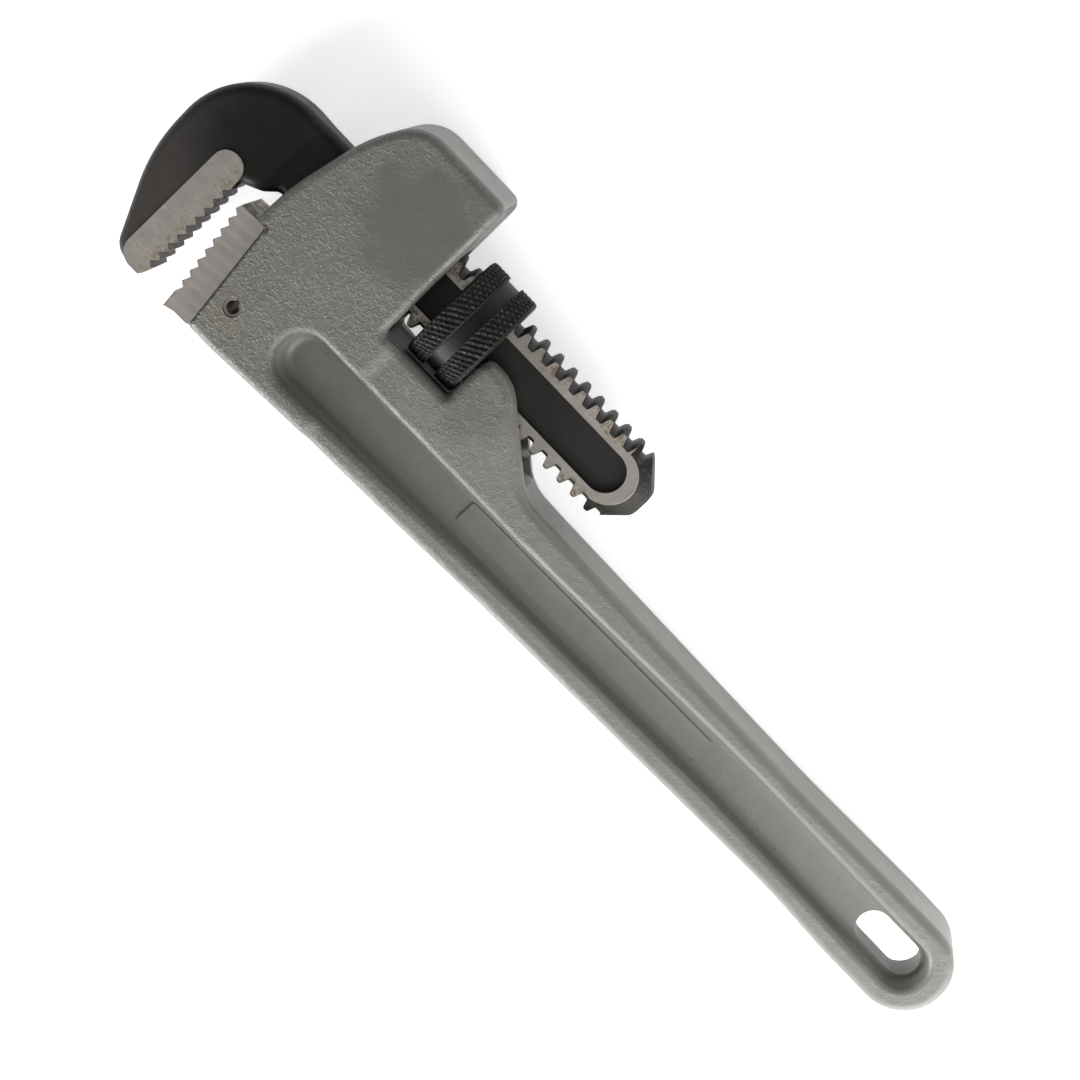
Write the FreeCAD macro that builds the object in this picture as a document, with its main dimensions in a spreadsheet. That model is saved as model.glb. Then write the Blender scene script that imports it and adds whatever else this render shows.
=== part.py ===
import FreeCAD, Part
import math
import os

import Sketcher
from FreeCAD import Vector

os.makedirs("parts", exist_ok=True)

# A ten-inch straight pipe wrench, lying flat. Every piece is drawn about the plane that
# halves the wrench's thickness, with the head towards -X and the rear of the jaw towards +Y,
# and is then lifted and centred by its Placement.

doc = FreeCAD.newDocument("pipe_wrench")
sheet = doc.addObject("Spreadsheet::Sheet", "dims")

DIMENSIONS = {
    # whole tool
    "centre_x": 3.0,
    "centre_y": 0.15,
    # handle casting
    "blank_half": 12.5,
    "housing_half": 11.5,
    "body_half": 10.5,
    "grip_half": 8.5,
    "edge_round": 2.2,
    "web_half": 3.3,
    "plaque_half": 3.65,
    "recess_draft": 12.0,
    "recess_floor_round": 2.0,
    "recess_rim_round": 1.7,
    "hang_slot_radius": 4.3,
    "hang_slot_start": 109.6,
    "hang_slot_end": 118.3,
    "hang_slot_y": -18.0,
    "passage_half": 5.1,
    "channel_half": 5.2,
    "channel_floor": -5.0,
    "nut_relief_radius": 14.2,
    # jaw shank and its screw
    "axis_y": 10.05,
    "thread_pitch": 4.2333,
    "crest_radius": 9.95,
    "root_radius": 7.95,
    "crest_width": 1.1,
    "root_width": 2.6,
    "thread_start": -66.0,
    "shank_tip": 4.85,
    "dome_start": -1.6,
    "last_crest_x": -0.85,
    "shank_half": 4.65,
    "shank_front": 0.45,
    "shank_rear": 18.25,
    "side_groove_half": 4.8,
    "side_groove_depth": 1.3,
    "side_groove_start": -92.0,
    "side_groove_end": -1.6,
    "end_bevel_x": -5.3,
    # hook
    "hook_half": 5.7,
    "hook_pad_half": 6.0,
    "hook_edge_round": 2.6,
    "tooth_start_x": -105.8,
    "tooth_start_y": -31.2,
    "tooth_line_angle": -1.78,
    "tooth_pitch": 2.82,
    "tooth_count": 9,
    # adjusting nut
    "nut_radius": 13.35,
    "nut_waist_radius": 12.5,
    "nut_left": -55.3,
    "nut_right": -41.8,
    "nut_waist_left": -50.25,
    "nut_waist_right": -46.85,
    "nut_edge_round": 1.0,
    "nut_lead_in_length": 1.5,
    "nut_lead_in_depth": 2.1,
    "thread_gap": 0.28,
    # heel jaw and its pin
    "heel_half": 8.0,
    "heel_tongue_half": 4.0,
    "heel_slot_half": 4.1,
    "heel_edge_round": 0.5,
    "heel_tooth_start_x": -98.65,
    "heel_tooth_start_y": -30.2,
    "heel_tooth_line_angle": 7.03,
    "heel_tooth_pitch": 2.86,
    "heel_tooth_count": 8,
    "pin_x": -86.9,
    "pin_y": -22.5,
    "pin_radius": 2.2,
    "pin_wall": 0.7,
    "pin_split": 1.0,
    "pin_half_length": 10.9,
    "pin_hole_radius": 2.22,
    # springs
    "leaf_half": 3.6,
    "leaf_thickness": 1.0,
    "rivet_x": -37.0,
    "rivet_radius": 1.5,
    "rivet_hole_radius": 1.52,
    "rivet_head_radius": 2.7,
    "rivet_head_height": 1.0,
    "rivet_depth": 5.0,
    "leaf_hole_radius": 1.9,
    "coil_x": -27.0,
    "coil_wire_radius": 0.5,
    "coil_radius": 2.4,
    "coil_pitch": 1.7,
    "coil_pocket_radius": 3.3,
    "coil_pocket_floor": -11.6,
    "coil_top": -3.6,
}

for row, (alias, value) in enumerate(DIMENSIONS.items(), 1):
    sheet.set(f"A{row}", alias)
    sheet.set(f"B{row}", str(value))
    sheet.setAlias(f"B{row}", alias)
doc.recompute()


def dim(alias):
    return float(sheet.get(alias))


FAR = 200.0          # reaches past the whole wrench
AXIS_Y = dim("axis_y")
PITCH = dim("thread_pitch")


# ---------------------------------------------------------------- helpers
def new_body(label):
    body = doc.addObject("PartDesign::Body", label)
    body.Label = label
    return body


def new_sketch(body, name, role="XY_Plane", offset=(0.0, 0.0, 0.0), angle=0.0):
    """Sketch on one of the body's own planes, moved by offset and turned by angle in degrees."""
    plane = next(item for item in body.Origin.OriginFeatures if item.Role == role)
    sketch = body.newObject("Sketcher::SketchObject", name)
    sketch.AttachmentSupport = [(plane, "")]
    sketch.MapMode = "FlatFace"
    sketch.AttachmentOffset = FreeCAD.Placement(
        Vector(*offset), FreeCAD.Rotation(Vector(0, 0, 1), angle))
    return sketch


def add_outline(sketch, corners):
    """Close an outline through corners of (x, y, rounding radius)."""
    entries = []
    exits = []
    arcs = []
    count = len(corners)
    for index in range(count):
        here = Vector(corners[index][0], corners[index][1], 0)
        before = Vector(corners[index - 1][0], corners[index - 1][1], 0)
        after = Vector(corners[(index + 1) % count][0], corners[(index + 1) % count][1], 0)
        radius = corners[index][2] if len(corners[index]) > 2 else 0.0
        if radius == 0.0:
            entries.append(here)
            exits.append(here)
            continue
        back = (before - here).normalize()
        ahead = (after - here).normalize()
        half_angle = back.getAngle(ahead) / 2
        reach = radius / math.tan(half_angle)
        middle = (back + ahead).normalize()
        crown = here + middle * (radius / math.sin(half_angle) - radius)
        entries.append(here + back * reach)
        exits.append(here + ahead * reach)
        arcs.append(Part.Arc(entries[-1], crown, exits[-1]))
    for index in range(count):
        start = exits[index]
        end = entries[(index + 1) % count]
        if start.distanceToPoint(end) > 1e-6:
            arcs.append(Part.LineSegment(start, end))
    sketch.addGeometry(arcs)


def add_circle(sketch, x, y, radius_alias):
    index = sketch.addGeometry(Part.Circle(Vector(x, y, 0), Vector(0, 0, 1), dim(radius_alias)))
    constraint = sketch.addConstraint(Sketcher.Constraint("Radius", index, dim(radius_alias)))
    sketch.setExpression(f"Constraints[{constraint}]", f"dims.{radius_alias}")


def pad_both_ways(body, sketch, half_alias, name):
    pad = body.newObject("PartDesign::Pad", name)
    pad.Profile = sketch
    pad.Midplane = True
    pad.setExpression("Length", f"2 * dims.{half_alias}")
    doc.recompute()
    return pad


def cut_both_ways(body, sketch, name, half_alias=None):
    """Cut half_alias deep each way from the sketch, or right through."""
    pocket = body.newObject("PartDesign::Pocket", name)
    pocket.Profile = sketch
    pocket.Midplane = True
    if half_alias is None:
        pocket.Length = FAR
    else:
        pocket.setExpression("Length", f"2 * dims.{half_alias}")
    doc.recompute()
    return pocket


def turn(body, sketch, kind, name, angle=360.0, axis="H_Axis", midplane=False):
    feature = body.newObject(kind, name)
    feature.Profile = sketch
    feature.ReferenceAxis = (sketch, [axis])
    feature.Angle = angle
    feature.Midplane = midplane
    doc.recompute()
    return feature


def round_edges(body, radius_alias, name, wanted):
    """Fillet every edge of the tip for which wanted(edge midpoint, edge) is true."""
    tip = body.Tip
    names = []
    for number, edge in enumerate(tip.Shape.Edges, 1):
        middle = edge.valueAt((edge.FirstParameter + edge.LastParameter) / 2)
        if wanted(middle, edge):
            names.append(f"Edge{number}")
    fillet = body.newObject("PartDesign::Fillet", name)
    fillet.Base = (tip, names)
    fillet.setExpression("Radius", f"dims.{radius_alias}")
    fillet.Refine = False
    doc.recompute()
    return fillet


def repeat(body, original, name, sketch, axis, length, count, reverse=False):
    pattern = body.newObject("PartDesign::LinearPattern", name)
    pattern.Originals = [original]
    pattern.Direction = (sketch, [axis])
    pattern.Length = length
    pattern.Occurrences = count
    pattern.Reversed = reverse
    body.Tip = pattern
    doc.recompute()
    return pattern


def both_sides(body, feature, name):
    """Mirror a feature in the middle plane."""
    plane = next(item for item in body.Origin.OriginFeatures if item.Role == "XY_Plane")
    mirror = body.newObject("PartDesign::Mirrored", name)
    mirror.Originals = [feature]
    mirror.MirrorPlane = (plane, [""])
    body.Tip = mirror
    doc.recompute()
    return mirror


def cut_thread(body, sketch, name, length):
    """Cut a right-hand screw groove along the sketch's own X axis."""
    helix = body.newObject("PartDesign::SubtractiveHelix", name)
    helix.Profile = sketch
    helix.ReferenceAxis = (sketch, ["H_Axis"])
    helix.Mode = 0
    helix.setExpression("Pitch", "dims.thread_pitch")
    helix.Height = length
    helix.LeftHanded = False
    doc.recompute()
    return helix


# ---------------------------------------------------------------- handle casting
def build_handle():
    body = new_body("handle")
    housing = dim("housing_half")
    lug = dim("body_half")
    grip = dim("grip_half")
    floor = dim("channel_floor")

    # Plan outline: housing, nut window, lug under the nut, grip and rounded end.
    plan = new_sketch(body, "handle_plan")
    add_outline(plan, [
        (-96.4, 3.5, 60.0),
        (-91.5, 24.5, 36.0),
        (-85.0, 35.0, 10.0),
        (-60.4, 35.0, 2.6),
        (-60.4, -2.6, 1.2),
        (-41.45, -2.6, 1.2),
        (-41.45, 9.55, 2.6),
        (-33.7, 9.55, 11.0),
        (-14.1, -6.35, 12.0),
        (75.0, -7.4, 400.0),
        (110.0, -6.7, 100.0),
        (130.0, -6.7, 11.1),
        (130.0, -29.2, 11.1),
        (104.0, -29.2, 150.0),
        (86.0, -28.3, 150.0),
        (-60.0, -31.6, 400.0),
        (-84.0, -32.9, 80.0),
        (-96.4, -32.9, 2.5),
    ])
    pad_both_ways(body, plan, "blank_half", "handle_blank")

    # Side profile: thickest at the housing, thinner at the lug, thinnest at the grip.
    profile = new_sketch(body, "handle_thickness", "XZ_Plane")
    for side in (1, -1):
        add_outline(profile, [
            (-110.0, side * housing),
            (-58.2, side * housing, 5.0),
            (-55.4, side * lug, 5.0),
            (-40.0, side * lug, 150.0),
            (-4.0, side * grip, 150.0),
            (140.0, side * grip),
            (140.0, side * 20.0),
            (-110.0, side * 20.0),
        ])
    cut_both_ways(body, profile, "handle_taper")

    def on_outline(middle, edge):
        side_walls = (-96.4, -60.4, -41.45, 130.0)
        along_y = abs(edge.tangentAt(edge.FirstParameter).y) > 0.999
        on_wall = min(abs(middle.x - wall) for wall in side_walls) < 0.1
        return abs(middle.z) > grip - 0.1 and (on_wall or not along_y)

    round_edges(body, "edge_round", "handle_edges", on_outline)

    # Long recess in each side of the grip, leaving a web between two flanges.
    recess_plan = new_sketch(body, "recess_plan", offset=(0.0, 0.0, dim("web_half")))
    add_outline(recess_plan, [
        (-73.0, -14.9, 5.0),
        (-5.0, -14.9, 300.0),
        (62.0, -12.8, 300.0),
        (122.9, -12.8, 4.7),
        (122.9, -23.1, 4.7),
        (62.0, -22.3, 300.0),
        (-73.0, -25.6, 5.0),
    ])
    recess = body.newObject("PartDesign::Pocket", "recess")
    recess.Profile = recess_plan
    recess.Reversed = True
    recess.Length = dim("blank_half")
    recess.setExpression("TaperAngle", "dims.recess_draft")
    doc.recompute()
    both_sides(body, recess, "recesses")
    web = dim("web_half")

    def in_recess(middle):
        return -76.0 < middle.x < 124.0 and -27.5 < middle.y < -11.5

    round_edges(body, "recess_floor_round", "recess_floor_edges",
                lambda middle, edge: in_recess(middle) and abs(abs(middle.z) - web) < 0.01)
    round_edges(body, "recess_rim_round", "recess_rim_edges",
                lambda middle, edge: in_recess(middle) and abs(middle.z) > grip - 0.1
                and abs(edge.tangentAt(edge.FirstParameter).y) < 0.999)

    # Low blank plaque along the middle of the web.
    plaque = new_sketch(body, "plaque_plan")
    add_outline(plaque, [
        (-20.8, -16.1, 0.8),
        (54.0, -15.2, 0.8),
        (54.0, -20.8, 0.8),
        (-20.8, -21.9, 0.8),
    ])
    pad_both_ways(body, plaque, "plaque_half", "plaque")

    hang_slot = new_sketch(body, "hang_slot_plan")
    radius = dim("hang_slot_radius")
    slot_y = dim("hang_slot_y")
    slot_left = dim("hang_slot_start") - radius
    slot_right = dim("hang_slot_end") + radius
    add_outline(hang_slot, [
        (slot_left, slot_y + radius, radius - 0.01),
        (slot_right, slot_y + radius, radius - 0.01),
        (slot_right, slot_y - radius, radius - 0.01),
        (slot_left, slot_y - radius, radius - 0.01),
    ])
    cut_both_ways(body, hang_slot, "hang_slot")

    # Passage for the jaw shank, widening to the left so the jaw can rock.
    passage = new_sketch(body, "passage_plan")
    add_outline(passage, [
        (-99.0, -4.6),
        (-97.0, -3.4),
        (-93.2, -0.35),
        (-58.0, -0.35),
        (-58.0, 21.1),
        (-99.0, 23.4),
    ])
    cut_both_ways(body, passage, "passage", "passage_half")

    # Round relief under the nut.
    relief = new_sketch(body, "relief_profile", offset=(0.0, AXIS_Y, 0.0))
    add_outline(relief, [
        (-60.4, 0.0),
        (-41.45, 0.0),
        (-41.45, -dim("nut_relief_radius")),
        (-60.4, -dim("nut_relief_radius")),
    ])
    turn(body, relief, "PartDesign::Groove", "nut_relief")

    # Channel in the lug for the screw and the springs.
    channel = new_sketch(body, "channel_plan")
    add_outline(channel, [
        (-45.0, -0.9),
        (-40.4, -0.9),
        (-40.4, floor),
        (-10.0, floor),
        (-10.0, 12.0),
        (-45.0, 12.0),
    ])
    cut_both_ways(body, channel, "channel", "channel_half")

    # Seat and slot for the heel jaw.
    seat = new_sketch(body, "heel_seat_plan")
    add_outline(seat, [(-100.0, -5.2), (-93.42, -5.2, 0.6), (-90.02, -40.0), (-100.0, -40.0)])
    cut_both_ways(body, seat, "heel_seat")
    heel_slot = new_sketch(body, "heel_slot_plan")
    add_outline(heel_slot, [(-95.0, -9.0), (-82.0, -9.0, 1.0), (-82.0, -30.0, 1.0), (-95.0, -30.0)])
    cut_both_ways(body, heel_slot, "heel_slot", "heel_slot_half")
    pin_hole = new_sketch(body, "pin_hole_plan")
    add_circle(pin_hole, dim("pin_x"), dim("pin_y"), "pin_hole_radius")
    cut_both_ways(body, pin_hole, "pin_hole")

    # Drilled holes in the channel floor.
    for name, x, radius_alias, depth in (
            ("rivet_hole", "rivet_x", "rivet_hole_radius", "dims.rivet_depth + 0.3"),
            ("coil_pocket", "coil_x", "coil_pocket_radius",
             "dims.channel_floor - dims.coil_pocket_floor")):
        mouth = new_sketch(body, name + "_plan", "XZ_Plane", (0.0, 0.0, -floor))
        add_circle(mouth, dim(x), 0.0, radius_alias)
        hole = body.newObject("PartDesign::Pocket", name)
        hole.Profile = mouth
        hole.Reversed = True
        hole.setExpression("Length", depth)
        doc.recompute()

    return body


# ---------------------------------------------------------------- hook jaw
def build_hook_jaw():
    body = new_body("hook_jaw")
    crest = dim("crest_radius")
    root = dim("root_radius")
    half = dim("shank_half")
    front = dim("shank_front")
    rear = dim("shank_rear")
    tip_x = dim("shank_tip")

    # Hook and plain shank in one outline.
    shank_end = -64.0
    hook = new_sketch(body, "hook_plan")
    add_outline(hook, [
        (shank_end, rear),
        (-124.0, rear, 19.5),
        (-124.0, -12.7, 40.0),
        (-114.6, -34.45, 5.0),
        (-107.0, -34.45),
        (-105.8, -31.2),
        (-105.05, -7.0),
        (-104.9, -4.0, 1.5),
        (-100.3, -1.9, 4.0),
        (-97.9, front, 2.0),
        (shank_end, front),
    ])
    pad_both_ways(body, hook, "hook_half", "hook")

    # Side profile: the hook thins gently to the shank.
    thinning = new_sketch(body, "hook_thickness", "XZ_Plane")
    for side in (1, -1):
        add_outline(thinning, [
            (-130.0, side * dim("hook_half")),
            (-102.9, side * dim("hook_half"), 6.0),
            (-98.9, side * half, 5.0),
            (-60.0, side * half),
            (-60.0, side * 12.0),
            (-130.0, side * 12.0),
        ])
    cut_both_ways(body, thinning, "hook_taper")

    def on_outline(middle, edge):
        across = abs(edge.tangentAt(edge.FirstParameter).y) > 0.999
        return abs(middle.z) > half - 0.1 and not (across and middle.x > -110.0)

    round_edges(body, "hook_edge_round", "hook_edges", on_outline)

    # Round bar with a chamfered end.
    bar = new_sketch(body, "bar_profile", offset=(0.0, AXIS_Y, 0.0))
    add_outline(bar, [
        (dim("thread_start"), 0.0),
        (dim("thread_start"), crest),
        (dim("dome_start"), crest, 4.0),
        (tip_x, crest - (tip_x - dim("dome_start")), 2.6),
        (tip_x, 0.0),
    ])
    turn(body, bar, "PartDesign::Revolution", "bar")

    # Single-start right-hand screw thread.
    turns_before_last_crest = 15.5
    middle = dim("last_crest_x") - turns_before_last_crest * PITCH
    root_gap = PITCH - dim("root_width")
    crest_gap = PITCH - dim("crest_width")
    root_round = 0.45
    crest_bevel = 0.3
    groove = new_sketch(body, "thread_profile", offset=(0.0, AXIS_Y, 0.0))
    add_outline(groove, [
        (middle - root_gap / 2, root, root_round),
        (middle + root_gap / 2, root, root_round),
        (middle + crest_gap / 2 - crest_bevel / 2, crest - crest_bevel),
        (middle + crest_gap / 2 + 1.5 * crest_bevel, crest + crest_bevel),
        (middle - crest_gap / 2 - 1.5 * crest_bevel, crest + crest_bevel),
        (middle - crest_gap / 2 + crest_bevel / 2, crest - crest_bevel),
    ])
    cut_thread(body, groove, "thread", tip_x + 2.0 - middle)

    # Flat sides on the bar.
    flats = new_sketch(body, "flat_sides", "XZ_Plane")
    for side in (1, -1):
        add_outline(flats, [
            (-70.0, side * half),
            (10.0, side * half),
            (10.0, side * 15.0),
            (-70.0, side * 15.0),
        ])
    cut_both_ways(body, flats, "flats")

    # Bevel round the end of each flat side, turned about a line across the bar.
    bevel_starts = 6.6
    bevel_ends = 10.6
    end_thickness = 1.9
    beyond = 12.0
    clear_of_flat = half + 0.3
    bevel = new_sketch(body, "end_bevel_profile", "XZ_Plane", (dim("end_bevel_x"), 0.0, -AXIS_Y))
    for side in (1, -1):
        add_outline(bevel, [
            (bevel_starts, side * clear_of_flat),
            (bevel_starts, side * half),
            (bevel_ends, side * end_thickness),
            (beyond, side * end_thickness),
            (beyond, side * clear_of_flat),
        ])
    turn(body, bevel, "PartDesign::Groove", "end_bevel", 180.0, "V_Axis", True)

    # Ground flat beside the teeth.
    ground = new_sketch(body, "ground_flat_plan")
    add_outline(ground, [
        (-112.7, 0.3, 3.55),
        (-113.7, -34.2, 4.0),
        (-107.1, -34.2),
        (-105.9, -31.2),
        (-105.3, -5.0),
        (-105.5, 0.3, 3.5),
    ])
    pad_both_ways(body, ground, "hook_pad_half", "ground_flat")

    # Teeth: one notch, repeated up the biting face.
    teeth = new_sketch(body, "tooth_notch_plan",
                       offset=(dim("tooth_start_x"), dim("tooth_start_y"), 0.0),
                       angle=dim("tooth_line_angle"))
    add_outline(teeth, [(0.8, 0.06), (0.0, 0.06), (-1.35, 1.12), (0.0, 2.76), (0.8, 2.76)])
    notch = cut_both_ways(body, teeth, "tooth_notch")
    count = int(dim("tooth_count"))
    repeat(body, notch, "teeth", teeth, "V_Axis", dim("tooth_pitch") * (count - 1), count)

    # Sunken panel in each flat side of the shank.
    panel = new_sketch(body, "side_groove_plan",
                       offset=(0.0, AXIS_Y, half - dim("side_groove_depth")))
    panel_half = dim("side_groove_half")
    add_outline(panel, [
        (dim("side_groove_start"), panel_half, panel_half - 0.01),
        (dim("side_groove_end"), panel_half, panel_half - 0.01),
        (dim("side_groove_end"), -panel_half, panel_half - 0.01),
        (dim("side_groove_start"), -panel_half, panel_half - 0.01),
    ])
    side_groove = body.newObject("PartDesign::Pocket", "side_groove")
    side_groove.Profile = panel
    side_groove.Reversed = True
    side_groove.setExpression("Length", "dims.side_groove_depth + 0.5")
    doc.recompute()
    both_sides(body, side_groove, "side_grooves")
    return body


# ---------------------------------------------------------------- adjusting nut
def build_nut():
    body = new_body("adjusting_nut")
    gap = dim("thread_gap")
    bore = dim("root_radius") + gap
    outer = dim("nut_radius")
    waist = dim("nut_waist_radius")
    left = dim("nut_left")
    right = dim("nut_right")
    edge_round = dim("nut_edge_round")
    lead_length = dim("nut_lead_in_length")
    bore_mouth = bore + dim("nut_lead_in_depth")
    ring = new_sketch(body, "nut_profile", offset=(0.0, AXIS_Y, 0.0))
    add_outline(ring, [
        (left, bore_mouth),
        (left, outer, edge_round),
        (dim("nut_waist_left"), outer, 0.3),
        (dim("nut_waist_left"), waist, 0.3),
        (dim("nut_waist_right"), waist, 0.3),
        (dim("nut_waist_right"), outer, 0.3),
        (right, outer, edge_round),
        (right, bore_mouth),
        (right - lead_length, bore),
        (left + lead_length, bore),
    ])
    turn(body, ring, "PartDesign::Revolution", "nut_ring")

    # Thread to suit the shank, in step with it and with play on every flank.
    turns_before_last_crest = 14
    crest = dim("crest_radius")
    root = dim("root_radius")
    middle = dim("last_crest_x") - turns_before_last_crest * PITCH
    flank = (dim("root_width") - dim("crest_width")) / (crest - root)
    widest = dim("root_width") + 2 * gap + 0.2 * flank
    narrowest = dim("crest_width") + 2 * gap - gap * flank
    groove = new_sketch(body, "nut_thread_profile", offset=(0.0, AXIS_Y, 0.0))
    add_outline(groove, [
        (middle - widest / 2, root - 0.2),
        (middle + widest / 2, root - 0.2),
        (middle + narrowest / 2, crest + gap),
        (middle - narrowest / 2, crest + gap),
    ])
    cut_thread(body, groove, "nut_thread", right + PITCH - middle)
    return body


# ---------------------------------------------------------------- heel jaw and pin
def build_heel_jaw():
    body = new_body("heel_jaw")
    block = new_sketch(body, "heel_plan")
    add_outline(block, [
        (-100.9, -5.9),
        (-93.75, -5.4, 1.4),
        (-91.05, -33.1, 0.9),
        (-91.9, -33.9, 1.2),
        (-95.6, -34.0),
        (-98.3, -34.7),
        (-98.65, -30.2),
        (-101.45, -7.5),
    ])
    pad_both_ways(body, block, "heel_half", "heel_block")

    def outer_edge(point, edge):
        on_tooth_line = point.x < -98.4 and -32.0 < point.y < -6.0
        return abs(point.z) > dim("heel_half") - 0.01 and not on_tooth_line

    round_edges(body, "heel_edge_round", "heel_edges", outer_edge)
    tongue = new_sketch(body, "heel_tongue_plan")
    add_outline(tongue, [(-95.0, -9.3), (-82.3, -9.3, 1.0), (-82.3, -29.7, 1.0), (-95.0, -29.7)])
    pad_both_ways(body, tongue, "heel_tongue_half", "heel_tongue")
    teeth = new_sketch(body, "heel_notch_plan",
                       offset=(dim("heel_tooth_start_x"), dim("heel_tooth_start_y"), 0.0),
                       angle=dim("heel_tooth_line_angle"))
    add_outline(teeth, [(-0.8, 0.06), (0.0, 0.06), (1.2, 1.7), (0.0, 2.8), (-0.8, 2.8)])
    notch = cut_both_ways(body, teeth, "heel_notch")
    count = int(dim("heel_tooth_count"))
    repeat(body, notch, "heel_teeth", teeth, "V_Axis", dim("heel_tooth_pitch") * (count - 1), count)
    hole = new_sketch(body, "heel_pin_hole_plan")
    add_circle(hole, dim("pin_x"), dim("pin_y"), "pin_hole_radius")
    cut_both_ways(body, hole, "heel_pin_hole")
    return body


def build_pin():
    """Rolled spring pin: a tube split along its length."""
    body = new_body("heel_jaw_pin")
    radius = dim("pin_radius")
    ring = new_sketch(body, "pin_plan")
    add_circle(ring, dim("pin_x"), dim("pin_y"), "pin_radius")
    pad_both_ways(body, ring, "pin_half_length", "pin")
    core = new_sketch(body, "pin_core_plan")
    core.addGeometry(Part.Circle(Vector(dim("pin_x"), dim("pin_y"), 0), Vector(0, 0, 1),
                                 radius - dim("pin_wall")))
    cut_both_ways(body, core, "pin_core")
    split = new_sketch(body, "pin_split_plan", offset=(dim("pin_x"), dim("pin_y"), 0.0))
    half_split = dim("pin_split") / 2
    add_outline(split, [
        (-half_split, 0.0), (half_split, 0.0), (half_split, 2 * radius), (-half_split, 2 * radius)])
    cut_both_ways(body, split, "pin_split")
    return body


# ---------------------------------------------------------------- springs
def build_leaf():
    """Flat spring lying in the lug's channel, its free end close under the screw."""
    body = new_body("flat_spring")
    under = dim("channel_floor") + 0.05
    thick = dim("leaf_thickness")
    strip = new_sketch(body, "leaf_plan")
    add_outline(strip, [
        (-40.0, under),
        (-33.0, under, 8.0),
        (-19.5, under + 3.35),
        (-19.5, under + 3.35 + thick),
        (-33.2, under + thick, 7.0),
        (-40.0, under + thick),
    ])
    pad_both_ways(body, strip, "leaf_half", "leaf")
    hole = new_sketch(body, "leaf_hole_plan", "XZ_Plane")
    add_circle(hole, dim("rivet_x"), 0.0, "leaf_hole_radius")
    cut_both_ways(body, hole, "leaf_hole")
    return body


def build_rivet():
    body = new_body("spring_rivet")
    floor = dim("channel_floor")
    under_head = floor + dim("leaf_thickness") + 0.35
    top = under_head + dim("rivet_head_height")
    profile = new_sketch(body, "rivet_profile", offset=(dim("rivet_x"), 0.0, 0.0))
    add_outline(profile, [
        (0.0, floor - dim("rivet_depth")),
        (dim("rivet_radius"), floor - dim("rivet_depth")),
        (dim("rivet_radius"), under_head),
        (dim("rivet_head_radius"), under_head),
        (dim("rivet_head_radius"), top, 0.8),
        (0.0, top),
    ])
    turn(body, profile, "PartDesign::Revolution", "rivet", 360.0, "V_Axis")
    return body


def build_coil():
    body = new_body("coil_spring")
    clear_of_floor = 0.2
    start = dim("coil_pocket_floor") + dim("coil_wire_radius") + clear_of_floor
    wire = new_sketch(body, "coil_wire", offset=(dim("coil_x"), 0.0, 0.0))
    add_circle(wire, dim("coil_radius"), start, "coil_wire_radius")
    coil = body.newObject("PartDesign::AdditiveHelix", "coil")
    coil.Profile = wire
    coil.ReferenceAxis = (wire, ["V_Axis"])
    coil.Mode = 0
    coil.setExpression("Pitch", "dims.coil_pitch")
    coil.Height = dim("coil_top") - dim("coil_wire_radius") - start
    doc.recompute()
    return body


BUILDERS = (
    build_handle,
    build_hook_jaw,
    build_nut,
    build_heel_jaw,
    build_pin,
    build_leaf,
    build_rivet,
    build_coil,
)

bodies = [build() for build in BUILDERS]

for body in bodies:
    body.setExpression("Placement.Base.x", "-dims.centre_x")
    body.setExpression("Placement.Base.y", "-dims.centre_y")
    body.setExpression("Placement.Base.z", "dims.nut_radius")
doc.recompute()

for item in doc.Objects:
    broken = [word for word in item.State if word in ("Invalid", "Error")]
    if broken:
        raise RuntimeError(f"{item.Label} is {broken}")

for body in bodies:
    shape = body.Shape
    if shape.isNull() or not shape.isValid() or len(shape.Solids) != 1:
        raise RuntimeError(f"{body.Label} is not one valid solid")
    shape.exportStep(f"parts/{body.Label}.step")
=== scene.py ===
import math

import bmesh
import bpy
import numpy as np
from mathutils import Matrix, Vector

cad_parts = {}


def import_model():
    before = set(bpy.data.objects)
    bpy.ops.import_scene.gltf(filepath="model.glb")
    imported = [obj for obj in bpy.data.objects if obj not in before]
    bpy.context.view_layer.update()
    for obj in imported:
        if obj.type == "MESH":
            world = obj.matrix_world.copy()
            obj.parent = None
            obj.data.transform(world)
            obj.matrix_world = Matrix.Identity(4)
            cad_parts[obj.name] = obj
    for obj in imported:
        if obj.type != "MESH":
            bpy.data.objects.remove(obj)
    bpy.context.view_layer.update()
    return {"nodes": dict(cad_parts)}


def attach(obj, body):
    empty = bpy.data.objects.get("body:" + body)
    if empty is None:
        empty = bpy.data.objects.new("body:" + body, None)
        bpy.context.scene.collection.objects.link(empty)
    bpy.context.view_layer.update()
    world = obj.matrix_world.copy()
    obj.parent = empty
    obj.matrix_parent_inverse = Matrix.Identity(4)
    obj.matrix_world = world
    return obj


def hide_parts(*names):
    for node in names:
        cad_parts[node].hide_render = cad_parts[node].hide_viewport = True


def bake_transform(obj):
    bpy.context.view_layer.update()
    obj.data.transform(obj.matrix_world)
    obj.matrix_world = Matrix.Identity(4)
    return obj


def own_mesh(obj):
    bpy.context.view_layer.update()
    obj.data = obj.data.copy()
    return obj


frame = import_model()
nodes = frame["nodes"]

MM = 0.001

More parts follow.
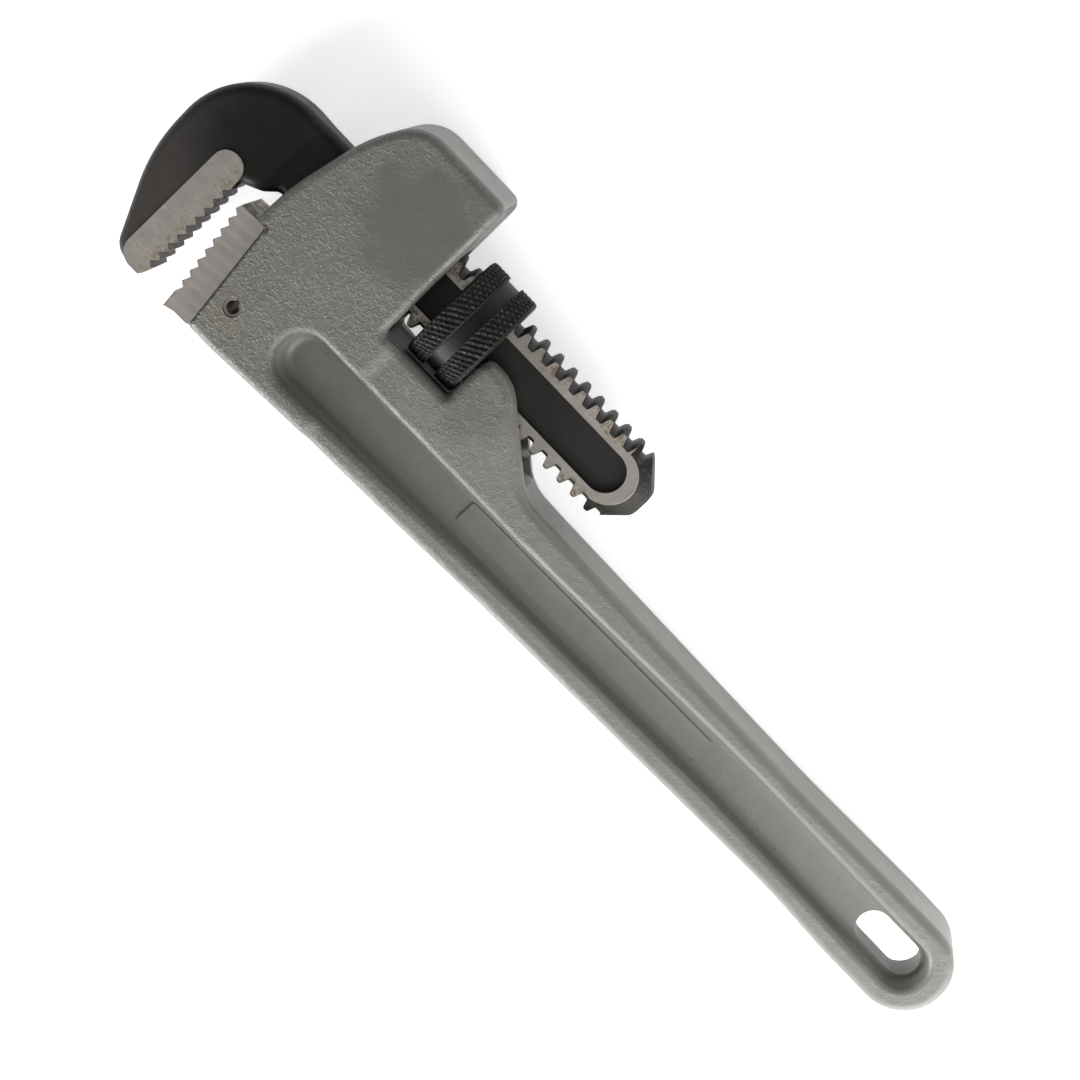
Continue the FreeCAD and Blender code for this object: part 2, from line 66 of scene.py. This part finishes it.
# Places, lengths and directions on the wrench, in the row frame and in metres.
MID_Z = 13.35 * MM
SCREW_Y = 9.9 * MM
NUT_LEFT = -58.3 * MM
NUT_RIGHT = -44.8 * MM
WAIST_LEFT = -53.25 * MM
WAIST_RIGHT = -49.85 * MM
THREAD_PITCH = 4.2333 * MM
SCREW_CREST = -3.85 * MM      # one crest of the screw at its rear, +Y
PIN = (-89.9 * MM, -22.65 * MM)
HEEL_TOOTH_PITCH = 2.86 * MM
HEEL_TEETH_RUN = (-0.12239, 0.99248)    # the way the row of heel teeth runs
HEEL_BAR_PHASE = 1.1          # radians, puts the bars on the roots of the teeth
LEAF_HELD = -37.2 * MM        # where the flat spring leaves its rivet's head
LEAF_TIP = -22.5 * MM
HEEL_CORNER = (-96.6 * MM, -5.6 * MM)
HEEL_SEAM = (0.09704, -0.99528)         # the way the seam runs, from that corner
SHADED_SMOOTH_PATCH = (-73.5 * MM, 19 * MM)    # middle of the smoother place on the head, which is painted darker as shade
LUG_DARK_PLACE = (-40 * MM, 0.5 * MM)        # middle of the darker place on the lug
HOOK_DULL_MIDDLE = (-110 * MM, 7 * MM)      # middle of the hook, where its painted sheen is weakest

# Spans that a finish needs to come in or to fade: along x,
WINDOW_LEFT = (-64.3 * MM, -63.9 * MM)
WINDOW_RIGHT = (-44.0 * MM, -43.6 * MM)
SHANK_START = (-97 * MM, -96 * MM)
SCREW_START = (-70 * MM, -69 * MM)
SCREW_END = (-2.6 * MM, -1.6 * MM)      # past its last crest
HOOK_TOOTH_ROOTS = (-110.2 * MM, -109.6 * MM)
HOOK_TOOTH_TIPS = (-107.9 * MM, -107.6 * MM)
HEEL_TOOTH_ROOTS = (-101.5 * MM, -99.5 * MM)
# along y,
WINDOW_FLOOR = (-3.6 * MM, -3.2 * MM)
HOOK_TEETH_END = (-8.2 * MM, -7.2 * MM)
# and in height from the wrench's middle.
RECESS_RIM = (8.2 * MM, 8.7 * MM)
HOOK_FLAT = (5.93 * MM, 5.97 * MM)
SHANK_FLAT = (4.60 * MM, 4.63 * MM)
HEEL_SIDE = (7.9 * MM, 7.97 * MM)

NUT_RADIUS_MM = 13.33
GRINDING = (0.12, 1.0, 1.0)             # stretches a texture into lines along x


def add(name, data):
    """Put an object with that data in the scene."""
    made = bpy.data.objects.new(name, data)
    bpy.context.scene.collection.objects.link(made)
    return made


# ---------------------------------------------------------------- material helpers
class Paint:
    """A node material, with short calls for the nodes that the finishes are made of."""

    def __init__(self, name):
        self.material = bpy.data.materials.new(name)
        self.material.use_nodes = True
        self.tree = self.material.node_tree
        self.shader = self.tree.nodes["Principled BSDF"]
        self.place = self.tree.nodes.new("ShaderNodeTexCoord").outputs["Object"]
        split = self.tree.nodes.new("ShaderNodeSeparateXYZ")
        self.tree.links.new(self.place, split.inputs[0])
        self.x, self.y, self.z = split.outputs

    def feed(self, socket, value):
        if isinstance(value, bpy.types.NodeSocket):
            self.tree.links.new(value, socket)
        else:
            socket.default_value = value

    def math(self, operation, first, second=0.0, third=0.0):
        node = self.tree.nodes.new("ShaderNodeMath")
        node.operation = operation
        for socket, value in zip(node.inputs, (first, second, third)):
            self.feed(socket, value)
        return node.outputs[0]

    def between(self, value, start, end):
        """0 below start, 1 above end and smooth between them."""
        node = self.tree.nodes.new("ShaderNodeMapRange")
        node.interpolation_type = "SMOOTHSTEP"
        self.feed(node.inputs["Value"], value)
        node.inputs["From Min"].default_value = start
        node.inputs["From Max"].default_value = end
        return node.outputs["Result"]

    def below(self, value, start, end):
        """1 below start, 0 above end and smooth between them."""
        return self.inverse(self.between(value, start, end))

    def both(self, first, second):
        return self.math("MULTIPLY", first, second)

    def either(self, first, second):
        return self.math("MAXIMUM", first, second)

    def inverse(self, value):
        return self.math("SUBTRACT", 1.0, value)

    def stretched(self, scale):
        """Object position, scaled by a factor on each axis."""
        node = self.tree.nodes.new("ShaderNodeMapping")
        self.tree.links.new(self.place, node.inputs["Vector"])
        node.inputs["Scale"].default_value = scale
        return node.outputs[0]

    def point(self, x, y, z):
        node = self.tree.nodes.new("ShaderNodeCombineXYZ")
        for socket, value in zip(node.inputs, (x, y, z)):
            self.feed(socket, value)
        return node.outputs[0]

    def noise(self, grain, detail=3.0, rough=0.55, swirl=0.0, vector=None):
        """Noise with features of about grain metres."""
        node = self.tree.nodes.new("ShaderNodeTexNoise")
        self.tree.links.new(vector or self.place, node.inputs["Vector"])
        node.inputs["Scale"].default_value = 1.0 / grain
        node.inputs["Detail"].default_value = detail
        node.inputs["Roughness"].default_value = rough
        node.inputs["Distortion"].default_value = swirl
        return node.outputs["Fac"]

    def mix(self, share, first, second):
        node = self.tree.nodes.new("ShaderNodeMix")
        node.data_type = "RGBA"
        self.feed(node.inputs["Factor"], share)
        for name, value in (("A", first), ("B", second)):
            socket = next(s for s in node.inputs if s.name == name and s.type == "RGBA")
            self.feed(socket, (*value, 1.0) if isinstance(value, tuple) else value)
        return next(s for s in node.outputs if s.type == "RGBA")

    def blend(self, share, first, second):
        """A number that goes from first to second."""
        node = self.tree.nodes.new("ShaderNodeMix")
        self.feed(node.inputs["Factor"], share)
        self.feed(node.inputs[2], first)
        self.feed(node.inputs[3], second)
        return node.outputs[0]

    def edges(self, radius):
        """1 close to a sharp edge and 0 on open faces."""
        bevel = self.tree.nodes.new("ShaderNodeBevel")
        bevel.samples = 4
        bevel.inputs["Radius"].default_value = radius
        geometry = self.tree.nodes.new("ShaderNodeNewGeometry")
        dot = self.tree.nodes.new("ShaderNodeVectorMath")
        dot.operation = "DOT_PRODUCT"
        self.tree.links.new(bevel.outputs[0], dot.inputs[0])
        self.tree.links.new(geometry.outputs["Normal"], dot.inputs[1])
        return self.between(self.inverse(dot.outputs["Value"]), 0.01, 0.2)

    def bump(self, height, depth, under=None):
        """Raise the surface by depth metres where height is 1."""
        node = self.tree.nodes.new("ShaderNodeBump")
        node.inputs["Distance"].default_value = depth
        self.feed(node.inputs["Height"], height)
        if under is not None:
            self.tree.links.new(under, node.inputs["Normal"])
        return node.outputs[0]

    def finish(self, colour, roughness, normal, metallic=0.0, **fixed):
        self.feed(self.shader.inputs["Base Color"], colour)
        self.feed(self.shader.inputs["Roughness"], roughness)
        self.feed(self.shader.inputs["Metallic"], metallic)
        self.feed(self.shader.inputs["Normal"], normal)
        for name, value in fixed.items():
            self.shader.inputs[name.replace("_", " ")].default_value = value
        return self.material

    def height_from_middle(self):
        return self.math("ABSOLUTE", self.math("SUBTRACT", self.z, MID_Z))

    def distance_from(self, x, y):
        dx = self.math("SUBTRACT", self.x, x)
        dy = self.math("SUBTRACT", self.y, y)
        return self.math("SQRT", self.math("ADD", self.both(dx, dx), self.both(dy, dy)))

    def facing_up(self):
        """1 on faces that look up or down and 0 on upright walls."""
        split = self.tree.nodes.new("ShaderNodeSeparateXYZ")
        coordinates = self.tree.nodes.new("ShaderNodeTexCoord")
        self.tree.links.new(coordinates.outputs["Normal"], split.inputs[0])
        return self.between(self.math("ABSOLUTE", split.outputs[2]), 0.5, 0.8)

    def heel_edge(self):
        """Distance from the seam between the heel jaw and the casting."""
        (x, y), (run, rise) = HEEL_CORNER, HEEL_SEAM
        from_x = self.both(self.math("SUBTRACT", self.x, x), rise)
        from_y = self.both(self.math("SUBTRACT", self.y, y), run)
        return self.math("ABSOLUTE", self.math("SUBTRACT", from_x, from_y))


def wear(node_or_piece, material):
    """Give an object one material all over."""
    node_or_piece.data.materials.clear()
    node_or_piece.data.materials.append(material)
    for polygon in node_or_piece.data.polygons:
        polygon.material_index = 0


# ---------------------------------------------------------------- finishes
def painted_casting():
    """Grey hammered paint, smoother in the recess and on a patch of the head that is painted
    darker as shade.
    """
    p = Paint("grey_casting_paint")
    height = p.height_from_middle()
    in_recess = p.below(height, *RECESS_RIM)
    on_head = p.below(p.x, -66 * MM, -40 * MM)
    ragged = p.math("MULTIPLY_ADD", p.noise(6 * MM, 4.0), 18 * MM, -9 * MM)
    from_patch = p.distance_from(*SHADED_SMOOTH_PATCH)
    smooth_shaded_patch = p.below(p.math("ADD", from_patch, ragged), 8 * MM, 18 * MM)

    crinkle = p.noise(1.1 * MM, 3.0, 0.5, 1.2)
    ridges = p.between(crinkle, 0.42, 0.68)
    texture = p.blend(in_recess, p.blend(on_head, 0.7, 1.0), 0.15)
    texture = p.both(texture, p.blend(smooth_shaded_patch, 1.0, 0.25))
    normal = p.bump(p.both(ridges, texture), 0.085 * MM)
    normal = p.bump(p.noise(0.45 * MM, 2.0), 0.025 * MM, normal)
    normal = p.bump(p.noise(9 * MM, 2.0), 0.25 * MM, normal)

    colour = p.mix(p.noise(14 * MM, 4.0, 0.6), (0.112, 0.114, 0.103), (0.150, 0.152, 0.136))
    colour = p.mix(p.both(p.both(ridges, texture), 0.25), colour, (0.20, 0.20, 0.185))
    # Painted shade: the smoother patch on the head is darkened.
    colour = p.mix(p.both(smooth_shaded_patch, 0.55), colour, (0.090, 0.092, 0.085))
    # Painted shade: the head end is darkened, fading out over the lug.
    colour = p.mix(p.both(on_head, 0.22), colour, (0.05, 0.05, 0.046))
    # Painted light: the recess is lightened, to make up for the shade that its walls cast on
    # it.
    colour = p.mix(p.both(in_recess, 0.26), colour, (0.27, 0.272, 0.25))
    # The lug is darker round a place by the front edge of the screw.
    from_lug_dark_place = p.distance_from(*LUG_DARK_PLACE)
    lug_darkening = p.below(p.math("ADD", from_lug_dark_place, ragged), 4 * MM, 13 * MM)
    colour = p.mix(p.both(lug_darkening, 0.38), colour, (0.05, 0.048, 0.042))
    # Painted shade: the walls of the window round the nut, below their rounded top edges, are
    # darkened nearly to black.
    by_the_nut = p.both(p.between(p.x, *WINDOW_LEFT), p.below(p.x, *WINDOW_RIGHT))
    by_the_nut = p.both(by_the_nut, p.between(p.y, *WINDOW_FLOOR))
    nut_window_shade = p.both(by_the_nut, p.below(height, 7.0 * MM, 9.0 * MM))
    colour = p.mix(p.both(nut_window_shade, 0.85), colour, (0.014, 0.013, 0.012))
    specks = p.between(p.noise(0.9 * MM, 1.0), 0.70, 0.76)
    colour = p.mix(p.both(specks, 0.5), colour, (0.06, 0.058, 0.052))
    stain = p.below(p.math("ADD", p.distance_from(*PIN), ragged), 1 * MM, 9 * MM)
    colour = p.mix(p.both(stain, 0.35), colour, (0.13, 0.105, 0.06))
    seam = p.below(p.heel_edge(), 0.35 * MM, 0.75 * MM)
    seam = p.both(seam, p.below(p.y, HEEL_CORNER[1] - 0.4 * MM, HEEL_CORNER[1]))
    notch = p.below(p.distance_from(*HEEL_CORNER), 0.8 * MM, 1.3 * MM)
    # Painted shade: a black line in the gap along the seam with the heel jaw, and a black spot
    # where a notch would be at its corner. The end wall above the heel jaw stays grey.
    in_gap = p.either(p.below(height, 8.0 * MM, 8.6 * MM), p.facing_up())
    gap_shade = p.both(p.either(seam, notch), in_gap)
    colour = p.mix(p.both(gap_shade, 0.9), colour, (0.012, 0.011, 0.010))
    colour = p.mix(p.both(p.edges(0.7 * MM), 0.35), colour, (0.24, 0.24, 0.225))

    roughness = p.blend(p.noise(5 * MM, 3.0), 0.36, 0.56)
    roughness = p.blend(smooth_shaded_patch, roughness, 0.34)
    return p.finish(colour, roughness, normal, Specular_IOR_Level=0.5)


def ground_steel(p):
    """Colour, roughness and height of a ground face, with fine lines along the grinding."""
    lines = p.noise(0.35 * MM, 2.0, 0.6, 0.0, p.stretched(GRINDING))
    cloud = p.noise(5 * MM, 3.0)
    colour = p.mix(cloud, (0.32, 0.298, 0.270), (0.45, 0.425, 0.388))
    colour = p.mix(p.both(lines, 0.35), colour, (0.26, 0.24, 0.22))
    roughness = p.blend(lines, 0.34, 0.52)
    return colour, roughness, lines


def rust(p, where, colour):
    """Small brown stains where the mask says, and how rusty each place is."""
    patches = p.between(p.noise(9 * MM, 2.0), 0.36, 0.54)
    spots = p.between(p.noise(1.5 * MM, 4.0, 0.7), 0.44, 0.58)
    amount = p.both(p.both(spots, patches), where)
    return p.mix(p.both(amount, 0.85), colour, (0.105, 0.068, 0.028)), amount


def forged_jaw():
    """Black oxide forging with ground flats beside the teeth and the screw."""
    p = Paint("black_forging_oxide")
    height = p.height_from_middle()
    on_shank = p.between(p.x, *SHANK_START)
    hook_flat = p.both(p.between(height, *HOOK_FLAT), p.inverse(on_shank))
    shank_flat = p.both(p.between(height, *SHANK_FLAT), on_shank)
    ground = p.either(hook_flat, shank_flat)
    in_teeth = p.both(p.between(p.x, *HOOK_TOOTH_ROOTS), p.below(p.x, *HOOK_TOOTH_TIPS))
    in_teeth = p.both(in_teeth, p.below(p.y, *HOOK_TEETH_END))
    on_screw = p.between(p.x, *SCREW_START)
    dy = p.math("SUBTRACT", p.y, SCREW_Y)
    dz = p.math("SUBTRACT", p.z, MID_Z)
    radius = p.math("SQRT", p.math("ADD", p.both(dy, dy), p.both(dz, dz)))

    steel, steel_rough, lines = ground_steel(p)
    near_teeth = p.between(p.x, -113.4 * MM, -110.5 * MM)
    near_thread = p.between(p.math("ABSOLUTE", dy), 4.9 * MM, 6.2 * MM)
    steel, rusted = rust(p, p.blend(on_shank, p.both(near_teeth, 0.8), near_thread), steel)

    scale = p.noise(7 * MM, 4.0, 0.6)
    black = p.mix(scale, (0.004, 0.0038, 0.0035), (0.010, 0.009, 0.008))
    black = p.mix(p.both(p.between(p.x, -80 * MM, -60 * MM), 0.8), black, (0.022, 0.021, 0.019))
    # Painted sheen: the black lightens from the middle of the hook out towards its rim.
    sheen_towards_rim = p.between(p.distance_from(*HOOK_DULL_MIDDLE), 6 * MM, 24 * MM)
    sheen_towards_rim = p.both(sheen_towards_rim, p.below(p.x, -112 * MM, -96 * MM))
    black = p.mix(p.both(sheen_towards_rim, 0.9), black, (0.040, 0.036, 0.033))
    black = p.mix(p.both(p.edges(0.5 * MM), 0.35), black, (0.075, 0.070, 0.060))
    thread_wear = p.between(p.noise(1.2 * MM, 3.0), 0.50, 0.72)
    in_thread = p.both(on_screw, p.between(radius, 6.2 * MM, 6.8 * MM))
    black = p.mix(p.both(p.both(in_thread, thread_wear), 0.55), black, (0.085, 0.078, 0.066))
    black = p.mix(p.both(in_teeth, 0.8), black, (0.045, 0.038, 0.030))

    # Turned streaks on the shank's end.
    streaks = p.noise(0.5 * MM, 3.0, 0.6, 0.0, p.point(p.x, radius, 0.0))
    at_end = p.between(p.x, *SCREW_END)
    black = p.mix(p.both(at_end, p.between(streaks, 0.42, 0.62)), black, (0.030, 0.028, 0.025))

    colour = p.mix(ground, black, steel)
    black_rough = p.blend(p.noise(2.5 * MM, 3.0), 0.34, 0.52)
    roughness = p.blend(ground, black_rough, p.blend(rusted, steel_rough, 0.8))
    bare = p.both(ground, p.inverse(rusted))
    metallic = p.either(p.both(bare, 0.95), p.both(p.either(at_end, in_teeth), 0.35))
    normal = p.bump(p.noise(0.8 * MM, 3.0), 0.05 * MM)
    normal = p.bump(p.noise(6 * MM, 2.0), 0.20 * MM, normal)
    normal = p.bump(p.both(ground, lines), 0.012 * MM, normal)
    normal = p.bump(p.both(at_end, streaks), 0.10 * MM, normal)
    return p.finish(colour, roughness, normal, metallic, Specular_IOR_Level=0.18)


def heel_steel():
    """Hardened jaw insert, ground all over, oily brown between and on the teeth."""
    p = Paint("heel_jaw_ground_steel")
    colour, roughness, lines = ground_steel(p)
    side = p.between(p.height_from_middle(), *HEEL_SIDE)
    in_teeth = p.both(p.inverse(side), p.below(p.x, *HEEL_TOOTH_ROOTS))
    colour, rusted = rust(p, p.blend(side, 0.7, 0.12), colour)
    # Faint bars run on from the roots of the teeth across each side.
    run_x, run_y = HEEL_TEETH_RUN
    up_the_teeth = p.math("ADD", p.both(p.y, run_y), p.both(p.x, run_x))
    radians_per_metre = 2 * math.pi / HEEL_TOOTH_PITCH
    phase = p.math("MULTIPLY_ADD", up_the_teeth, radians_per_metre, HEEL_BAR_PHASE)
    bars = p.between(p.math("SINE", phase), -0.2, 1.0)
    colour = p.mix(p.both(p.both(bars, side), 0.16), colour, (0.62, 0.59, 0.55))
    tint = p.between(p.noise(8 * MM, 2.0), 0.42, 0.62)
    colour = p.mix(p.both(tint, 0.3), colour, (0.44, 0.37, 0.38))
    colour = p.mix(p.both(in_teeth, 0.45), colour, (0.15, 0.135, 0.115))
    # Painted shade: a thin black line along the seam with the casting.
    seam = p.below(p.heel_edge(), 0.35 * MM, 0.6 * MM)
    colour = p.mix(p.both(seam, 0.9), colour, (0.010, 0.009, 0.008))
    normal = p.bump(lines, 0.012 * MM)
    normal = p.bump(p.noise(3 * MM, 2.0), 0.04 * MM, normal)
    metallic = p.blend(rusted, 0.95, 0.2)
    return p.finish(colour, p.blend(rusted, roughness, 0.8), normal, metallic)


def spring_finish(name, dark, light):
    """Blued or oiled spring steel."""
    p = Paint(name)
    colour = p.mix(p.noise(1.5 * MM, 4.0, 0.6), dark, light)
    colour, rusted = rust(p, 0.5, colour)
    normal = p.bump(p.noise(0.4 * MM, 3.0), 0.02 * MM)
    roughness = p.blend(p.noise(1.0 * MM, 3.0), 0.28, 0.5)
    return p.finish(colour, roughness, normal, p.blend(rusted, 0.9, 0.2))


def nut_finish():
    """Black oxide, rubbed to dull grey on the tips of the knurl."""
    p = Paint("nut_black_oxide")
    tips = p.tree.nodes.new("ShaderNodeAttribute")
    tips.attribute_name = "knurl_height"
    tip = p.between(tips.outputs["Fac"], 0.45, 1.0)
    colour = p.mix(p.noise(3 * MM, 4.0, 0.65), (0.0055, 0.0052, 0.0048), (0.014, 0.013, 0.0118))
    patchy = p.between(p.noise(2.2 * MM, 3.0), 0.35, 0.65)
    colour = p.mix(p.both(p.both(tip, patchy), 0.6), colour, (0.085, 0.082, 0.076))
    colour = p.mix(p.both(p.edges(0.4 * MM), 0.35), colour, (0.10, 0.096, 0.09))
    normal = p.bump(p.noise(0.35 * MM, 3.0), 0.05 * MM)
    roughness = p.blend(p.noise(1.2 * MM, 3.0), 0.36, 0.6)
    return p.finish(colour, roughness, normal, p.both(tip, 0.5), Specular_IOR_Level=0.18)


# ---------------------------------------------------------------- adjusting nut
def profile_points():
    """The nut's closed section as (x, radius, knurl share, thread share), outside first.

    x and the radius are in millimetres."""
    outer = NUT_RADIUS_MM
    waist = 12.45
    bore = 8.23
    mouth = 10.33
    round_by = 0.8      # radius of the bands' outer edges
    step_in = 0.3       # from the outside down to the middle of that round
    end_gap = 0.25      # from the nut's end to the middle of that round
    end_step = 0.05     # from the nut's end to where that round starts
    inner_edge = 0.2    # chamfer where a band meets the waist
    wall_slope = 0.1    # how far the wall between band and waist leans
    lead_in = 1.5       # length of the flare at each end of the bore
    band_steps, bore_steps = 26, 60
    faded = 0.4         # share of the knurl's depth on those rounds and chamfers
    left, right = NUT_LEFT / MM, NUT_RIGHT / MM
    waist_left, waist_right = WAIST_LEFT / MM, WAIST_RIGHT / MM
    points = []

    def run(x0, r0, x1, r1, steps, knurl=0.0, thread=0.0):
        for step in range(steps):
            share = step / steps
            points.append((x0 + (x1 - x0) * share, r0 + (r1 - r0) * share, knurl, thread))

    # Left band, waist, right band, right end, bore and left end.
    run(left + end_step, outer - round_by, left + end_gap, outer - step_in, 2)
    run(left + end_gap, outer - step_in, left + round_by, outer, 2, faded)
    run(left + round_by, outer, waist_left - inner_edge, outer, band_steps, 1.0)
    run(waist_left - inner_edge, outer, waist_left, outer - inner_edge, 1, faded)
    run(waist_left, outer - inner_edge, waist_left + wall_slope, waist, 3)
    run(waist_left + wall_slope, waist, waist_right - wall_slope, waist, 6)
    run(waist_right - wall_slope, waist, waist_right, outer - inner_edge, 3)
    run(waist_right, outer - inner_edge, waist_right + inner_edge, outer, 1, faded)
    run(waist_right + inner_edge, outer, right - round_by, outer, band_steps, 1.0)
    run(right - round_by, outer, right - end_gap, outer - step_in, 2, faded)
    run(right - end_gap, outer - step_in, right - end_step, outer - round_by, 2)
    run(right, outer - round_by - step_in, right, mouth, 4)
    run(right, mouth, right - lead_in, bore, 5)
    run(right - lead_in, bore, left + lead_in, bore, bore_steps, 0.0, 1.0)
    run(left + lead_in, bore, left, mouth, 5)
    run(left, mouth, left, outer - round_by - step_in, 4)
    return np.array(points)


def triangle_wave(phase):
    """1 at whole numbers and 0 halfway between them."""
    return np.abs(2 * (phase - np.floor(phase)) - 1)


def knurled_nut():
    """The nut with a diamond knurl on both bands, a smooth waist and a threaded bore."""
    section = profile_points()
    around = 520
    teeth = 58
    slant = math.tan(math.radians(32)) / NUT_RADIUS_MM
    knurl_depth = 0.55
    thread_depth = 2.0
    crest_share = 0.303     # of the pitch, taken by the crest of the nut's thread
    flank_share = 0.355     # of the pitch, taken by both of its flanks
    angle = np.arange(around) * 2 * math.pi / around
    x = section[:, 0][None, :]
    radius = section[:, 1][None, :]
    turn_share = angle[:, None] / (2 * math.pi)
    lean = x * slant * teeth / (2 * math.pi)
    first = triangle_wave(turn_share * teeth + lean)
    second = triangle_wave(turn_share * teeth - lean)
    # The grooves that lean one way are cut less deep than those that cross them, and
    # the tops of the diamonds are flat and a little uneven.
    shallow_floor, shallow_gain = 0.25, 0.9
    diamonds = np.minimum(first, shallow_floor + shallow_gain * second)
    cut_off, spread, lowest = 1.35, 0.12, 0.7
    flat_topped = np.clip(cut_off * diamonds, 0, 1)
    rng = np.random.default_rng(7)
    uneven = 1 + spread * rng.standard_normal((around, len(section)))
    height = flat_topped * np.clip(uneven, lowest, 1.0)
    radius = radius - section[:, 2] * knurl_depth * (1 - height)
    # Bore thread, in step with the screw and clear of it. The flares have no thread, so
    # the screw's thread crosses them.
    along = (x - SCREW_CREST / MM) / (THREAD_PITCH / MM) - turn_share
    flank = np.clip((triangle_wave(along) - crest_share) / flank_share, 0, 1)
    radius = radius + section[:, 3] * thread_depth * flank
    y = SCREW_Y + radius * MM * np.cos(angle)[:, None]
    z = MID_Z + radius * MM * np.sin(angle)[:, None]
    points = np.stack([np.broadcast_to(x * MM, y.shape), y, z], -1).reshape(-1, 3)
    count = len(section)
    faces = []
    for i in range(around):
        here, ahead = i * count, (i + 1) % around * count
        for j in range(count):
            k = (j + 1) % count
            faces.append((here + j, ahead + j, ahead + k, here + k))
    mesh = bpy.data.meshes.new("knurled_nut")
    mesh.from_pydata(points.tolist(), [], faces)
    attribute = mesh.attributes.new("knurl_height", "FLOAT", "POINT")
    attribute.data.foreach_set("value", (height * section[:, 2]).astype(np.float32).ravel())
    piece = add("knurled_nut", mesh)
    mesh.shade_smooth()
    mesh.set_sharp_from_angle(angle=math.radians(38))
    return piece


# ---------------------------------------------------------------- springs
def spring_copy(node, name):
    """A copy of a CAD spring, which can bend or be pressed as the jaw rocks."""
    mesh = nodes[node].data.copy()
    mesh.transform(nodes[node].matrix_world)
    mesh.name = name
    piece = add(name, mesh)
    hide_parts(node)
    return piece


def bending_leaf():
    """The flat spring, held by its rivet. The rocking jaw bends its tip towards the handle."""
    leaf = spring_copy("flat_spring", "bending_leaf")
    mesh = bmesh.new()
    mesh.from_mesh(leaf.data)
    cuts = 20
    for cut in range(1, cuts):
        x = LEAF_HELD + (LEAF_TIP - LEAF_HELD) * cut / cuts
        everything = mesh.verts[:] + mesh.edges[:] + mesh.faces[:]
        bmesh.ops.bisect_plane(mesh, geom=everything, plane_co=(x, 0, 0), plane_no=(1, 0, 0))
    mesh.to_mesh(leaf.data)
    mesh.free()
    leaf.data.shade_smooth()
    leaf.data.set_sharp_from_angle(angle=math.radians(30))
    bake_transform(leaf)
    return leaf


def pressed_coil():
    """The coil spring, which stands in its pocket and is pressed by the leaf."""
    coil = spring_copy("coil_spring", "pressed_coil")
    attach(coil, "handle")
    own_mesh(coil)
    return coil


# ---------------------------------------------------------------- pieces and finishes
leaf = bending_leaf()
coil = pressed_coil()
nut = knurled_nut()
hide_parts("adjusting_nut")
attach(nut, "nut")

wear(nut, nut_finish())
wear(nodes["handle"], painted_casting())
wear(nodes["hook_jaw"], forged_jaw())
wear(nodes["heel_jaw"], heel_steel())
oiled = spring_finish("pin_oiled_steel", (0.05, 0.046, 0.040), (0.62, 0.59, 0.54))
wear(nodes["heel_jaw_pin"], oiled)
blued = spring_finish("spring_blued_steel", (0.05, 0.05, 0.055), (0.16, 0.15, 0.145))
for piece in (leaf, coil, nodes["spring_rivet"]):
    wear(piece, blued)


# ---------------------------------------------------------------- studio
def floor():
    """The white card that the wrench lies on. It glows a little, so that it stays white."""
    mesh = bpy.data.meshes.new("floor")
    half = 3.0
    corners = [(-half, -half, 0), (half, -half, 0), (half, half, 0), (-half, half, 0)]
    mesh.from_pydata(corners, [], [(0, 1, 2, 3)])
    piece = add("floor", mesh)
    p = Paint("floor_card")
    colour = p.mix(p.noise(0.3, 2.0), (0.86, 0.86, 0.86), (0.88, 0.88, 0.88))
    p.shader.inputs["Emission Color"].default_value = (1, 1, 1, 1)
    p.finish(colour, 0.9, p.bump(p.noise(4 * MM, 2.0), 0.02 * MM), Emission_Strength=0.55)
    wear(piece, p.material)


def world():
    """A tent with light from overhead and from all round the horizon, and less between."""
    made = bpy.data.worlds.new("tent")
    made.use_nodes = True
    tree = made.node_tree
    place = tree.nodes.new("ShaderNodeTexCoord")
    split = tree.nodes.new("ShaderNodeSeparateXYZ")
    tree.links.new(place.outputs["Generated"], split.inputs[0])
    total = tree.nodes.new("ShaderNodeMath")
    horizon = {"From Min": 0.0, "From Max": 0.5, "To Min": 0.67, "To Max": 0.0}
    overhead = {"From Min": 0.45, "From Max": 0.9, "To Min": 0.0, "To Max": 0.46}
    for socket, glow in zip(total.inputs, (horizon, overhead)):
        span = tree.nodes.new("ShaderNodeMapRange")
        tree.links.new(split.outputs["Z"], span.inputs["Value"])
        for name, value in glow.items():
            span.inputs[name].default_value = value
        tree.links.new(span.outputs["Result"], socket)
    background = tree.nodes["Background"]
    tree.links.new(total.outputs[0], background.inputs["Strength"])
    background.inputs["Color"].default_value = (1.0, 1.0, 1.0, 1.0)
    bpy.context.scene.world = made


def softbox(name, direction, distance, size, power):
    """A square lamp in that direction from the wrench, facing it."""
    data = bpy.data.lights.new(name, "AREA")
    data.size = size
    data.energy = power
    lamp = add(name, data)
    away = Vector(direction).normalized()
    lamp.location = away * distance
    lamp.rotation_mode = "QUATERNION"
    lamp.rotation_quaternion = away.to_track_quat("Z", "Y")


def camera():
    """Above the head, tilted and rolled so that the head is at the upper left."""
    place = Vector((-43.32, 114.50, 486.17)) * MM
    target = Vector((-7.70, -12.35, 13.35)) * MM
    roll = math.radians(47.54)
    ahead = (target - place).normalized()
    right = Vector((math.cos(roll), math.sin(roll), 0))
    right = (right - ahead * right.dot(ahead)).normalized()
    up = right.cross(ahead)
    data = bpy.data.cameras.new("camera")
    data.lens = 74.35
    data.sensor_width = 36.0
    data.clip_start = 0.01
    data.clip_end = 20.0
    made = add("camera", data)
    turned = Matrix((right, up, -ahead)).transposed().to_4x4()
    made.matrix_world = Matrix.Translation(place) @ turned
    bpy.context.scene.camera = made


floor()
world()
# Direction from the wrench, distance and size in metres, power in watts.
softbox("key", (0.80, -0.28, 0.53), distance=0.5, size=0.4, power=2.7)
softbox("side", (0.95, -0.15, 0.20), distance=0.45, size=0.5, power=2.2)
softbox("fill", (-0.2, -0.95, 0.30), distance=0.9, size=0.5, power=13.0)
softbox("rim", (0.1, 1.0, 0.35), distance=0.9, size=0.6, power=1.5)
camera()
bpy.context.scene.view_settings.view_transform = "Standard"
